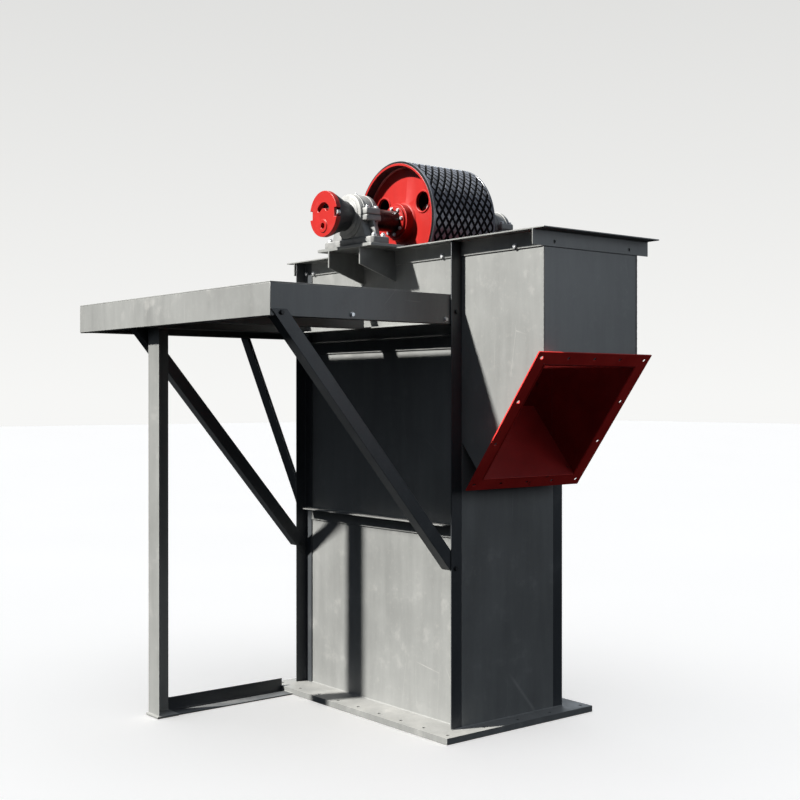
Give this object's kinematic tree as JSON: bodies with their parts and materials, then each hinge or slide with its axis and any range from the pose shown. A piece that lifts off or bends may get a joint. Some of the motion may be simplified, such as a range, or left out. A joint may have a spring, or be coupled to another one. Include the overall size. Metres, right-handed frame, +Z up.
{
  "type": "bucket elevator head section",
  "caption": "Open-topped head section of a belt bucket elevator: steel casing on a bolted base flange, lagged head pulley in pillow blocks, sloping discharge chute and side drive platform.",
  "frame": {"origin": "centre of the base flange's anchor bolt pattern, on its underside at floor level", "axes": "+X towards the discharge chute, +Y along the pulley shaft away from the platform, +Z up"},
  "size_m": [2.485, 1.94, 2.8169],
  "materials": {
    "paint": "satin mid-grey enamel over fabricated steel",
    "primer": "matt oxide red primer",
    "cast": "painted cast iron",
    "bare_steel": "turned bare steel",
    "machined_steel": "turned and ground shaft steel",
    "rubber": "diamond grooved black rubber",
    "red": "bright red gloss paint",
    "black": "black gloss paint"
  },
  "bodies": {
    "frame": {"base_plate": "paint", "casing_foot": "paint", "front_panel": "paint", "back_panel": "paint", "end_wall": "paint", "discharge_wall": "paint", "corner_front_discharge": "paint", "corner_front_end": "paint", "corner_back_discharge": "paint", "corner_back_end": "paint", "front_rail": "paint", "back_rail": "paint", "front_upper_rail": "paint", "back_upper_rail": "paint", "rim_front": "paint", "rim_back": "paint", "rim_end": "paint", "rim_discharge": "paint", "head_side_front": "paint", "head_side_back": "paint", "head_plate": "paint", "bearing_seat_front": "paint", "bearing_seat_back": "paint", "platform_front_beam": "paint", "platform_side_beam": "paint", "platform_wing_beam": "paint", "platform_back_beam": "paint", "platform_inner_beam": "paint", "platform_joists": "paint", "platform_deck": "paint", "brace_side": "paint", "brace_post": "paint", "brace_wing_front": "paint", "brace_wing_back": "paint", "post": "paint", "ground_beam": "paint", "chute_floor": "primer", "chute_flange": "primer", "bearing_base_front": "cast", "bearing_base_back": "cast", "bearing_cap_front": "cast", "bearing_cap_back": "cast"},
    "head_pulley": {"pulley_shell": "bare_steel", "pulley_lagging": "rubber", "pulley_disc_front": "red", "pulley_disc_back": "red", "head_shaft": "machined_steel", "coupling_hub": "black", "coupling_disc": "red"}
  },
  "joints": [
    {"name": "head_pulley_spin", "type": "hinge", "parent": "frame", "child": "head_pulley", "pos_m": [0, 0, 2.505], "axis": [0, 1, 0], "continuous": true}
  ]
}
